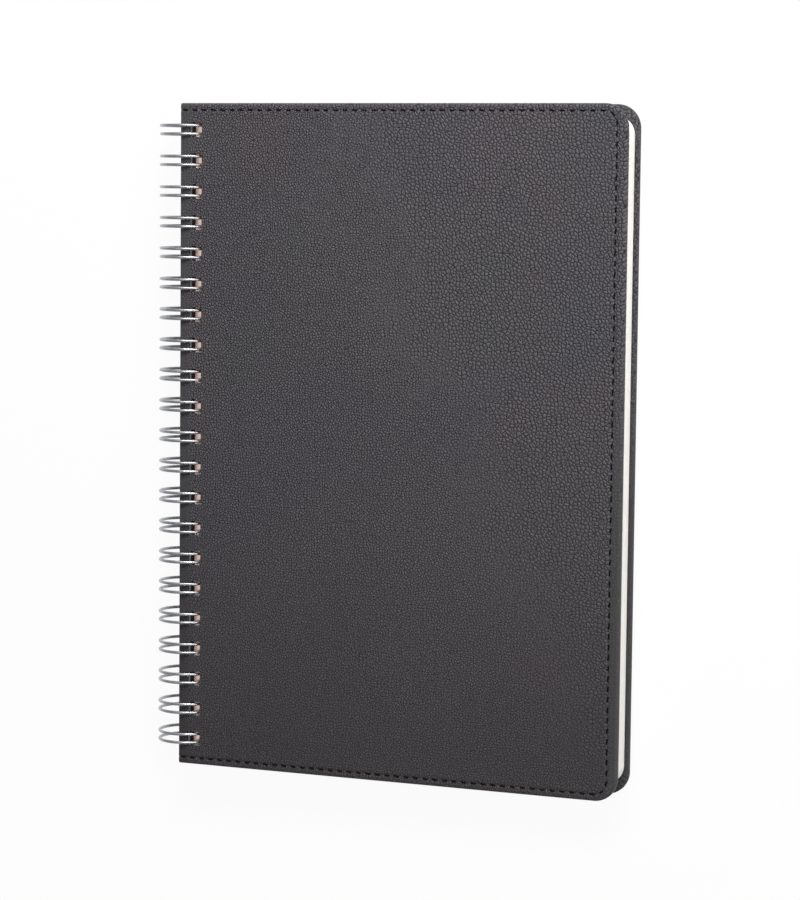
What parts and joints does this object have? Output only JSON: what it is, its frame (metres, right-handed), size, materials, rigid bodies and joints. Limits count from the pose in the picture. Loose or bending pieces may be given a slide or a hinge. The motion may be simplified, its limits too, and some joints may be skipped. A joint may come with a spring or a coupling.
{
  "type": "spiral notebook",
  "caption": "Wire-bound notebook with stitched leather covers that turn round twin loops of wire, over one block of blank pages.",
  "frame": {"origin": "under the middle of the closed book, level with the lowest point of the wire", "axes": "+Z out of the front cover, +X from the wire to the fore-edge, +Y along the wire to the head of the page"},
  "size_m": [0.1372, 0.1838, 0.016],
  "materials": {
    "paper": "matt uncoated cream paper",
    "wire": "bright silver wire",
    "leather": "pebbled charcoal leather, softly shining",
    "board": "plain grey board",
    "lining": "matt dark lining paper",
    "thread": "black sewing thread"
  },
  "bodies": {
    "book_block": {"page_block": "paper", "binding_wire": "wire"},
    "front_cover": {"front_leather": "leather", "front_board": "board", "front_lining": "lining", "front_stitching": "thread"},
    "back_cover": {"back_leather": "leather", "back_board": "board", "back_lining": "lining", "back_stitching": "thread"}
  },
  "joints": [
    {"name": "front_cover_hinge", "type": "hinge", "parent": "book_block", "child": "front_cover", "pos_m": [-0.06057, 0, 0.00802], "axis": [0, -1, 0], "range_deg": [0, 180]},
    {"name": "back_cover_hinge", "type": "hinge", "parent": "book_block", "child": "back_cover", "pos_m": [-0.06057, 0, 0.00802], "axis": [0, 1, 0], "range_deg": [0, 180]}
  ]
}
